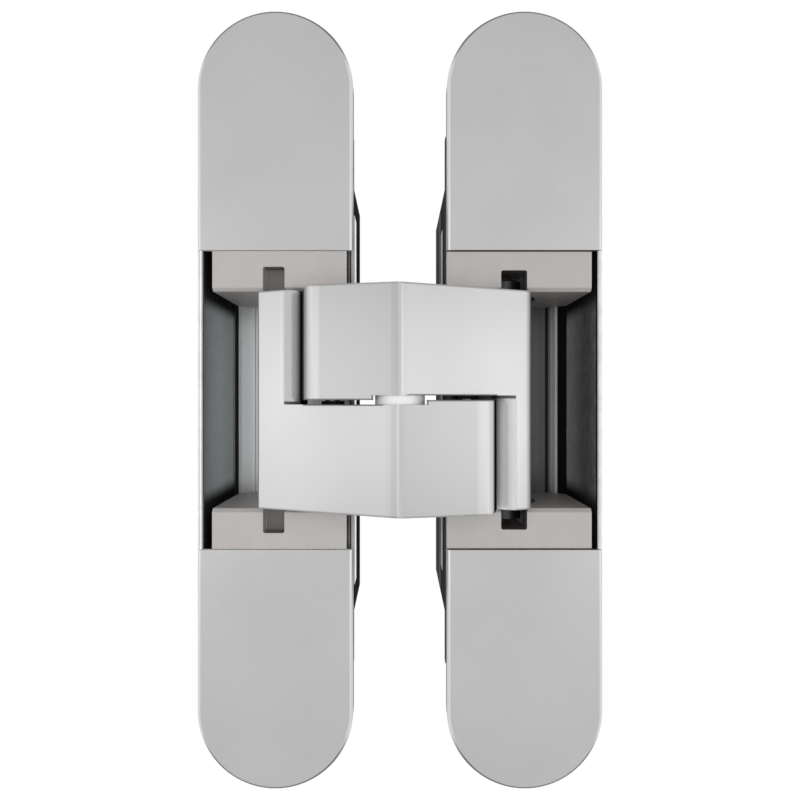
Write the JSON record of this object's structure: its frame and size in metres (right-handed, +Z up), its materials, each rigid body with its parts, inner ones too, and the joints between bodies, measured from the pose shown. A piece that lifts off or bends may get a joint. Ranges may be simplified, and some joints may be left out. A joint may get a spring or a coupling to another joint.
{
  "type": "concealed door hinge",
  "caption": "Concealed hinge for a flush door: two mortised leaves with round ends, joined by crossed arms that fold into them.",
  "frame": {"origin": "middle of the frame leaf's four screw holes, on the flange face that seats on the wood", "axes": "+Z up along the knuckle pin, +X from the frame leaf to the door leaf, +Y into the door edge"},
  "size_m": [0.0781, 0.0604, 0.15],
  "materials": {
    "satin_cover": "satin chrome plated cap",
    "frame_casting": "dark plated zinc casting",
    "door_casting": "dark as-cast zinc casting",
    "frame_block": "warm grey plated zinc casting",
    "door_block": "warm grey plated zinc casting",
    "frame_plate": "drawn steel strip",
    "door_plate": "dark drawn steel strip",
    "satin_arm": "satin chrome plated casting",
    "white_washer": "white polymer",
    "dark_bush": "black polymer",
    "zinc_screw": "zinc plated steel",
    "ground_pin": "ground steel"
  },
  "bodies": {
    "frame_leaf": {"frame_adjusting_cams": "zinc_screw", "frame_clamp_screws": "zinc_screw", "frame_guide_plate": "frame_plate", "frame_housing": "frame_casting", "frame_lower_block": "frame_block", "frame_lower_cover": "satin_cover", "frame_pivot_pin": "ground_pin", "frame_spacer_sleeve": "dark_bush", "frame_upper_block": "frame_block", "frame_upper_cover": "satin_cover"},
    "right_arm": {"knuckle_pin": "ground_pin", "knuckle_washer": "white_washer", "right_arm": "satin_arm", "right_knuckle_bush": "dark_bush", "right_lower_slide_bush": "dark_bush", "right_slide_pin": "ground_pin", "right_upper_slide_bush": "dark_bush"},
    "left_arm": {"left_arm": "satin_arm", "left_knuckle_bush": "dark_bush", "left_lower_slide_bush": "dark_bush", "left_slide_pin": "ground_pin", "left_upper_slide_bush": "dark_bush"},
    "door_leaf": {"door_adjusting_cams": "zinc_screw", "door_clamp_screws": "zinc_screw", "door_guide_plate": "door_plate", "door_housing": "door_casting", "door_lower_block": "door_block", "door_lower_cover": "satin_cover", "door_pivot_pin": "ground_pin", "door_spacer_sleeve": "dark_bush", "door_upper_block": "door_block", "door_upper_cover": "satin_cover"}
  },
  "joints": [
    {"name": "frame_pivot", "type": "hinge", "parent": "frame_leaf", "child": "right_arm", "pos_m": [0.01065, 0.002, 0], "axis": [0, 0, -1], "range_deg": [0, 106.78]},
    {"name": "knuckle", "type": "hinge", "parent": "right_arm", "child": "left_arm", "pos_m": [0.02405, -0.013, 0], "axis": [0, 0, -1], "range_deg": [-33.56, 0]},
    {"name": "door_pivot", "type": "hinge", "parent": "left_arm", "child": "door_leaf", "pos_m": [0.03745, 0.002, 0], "axis": [0, 0, -1], "range_deg": [0, 106.79]}
  ],
  "couplings": [
    {"joint": "knuckle", "follows": "frame_pivot", "ratio": -0.31424},
    {"joint": "door_pivot", "follows": "frame_pivot", "ratio": 1}
  ]
}
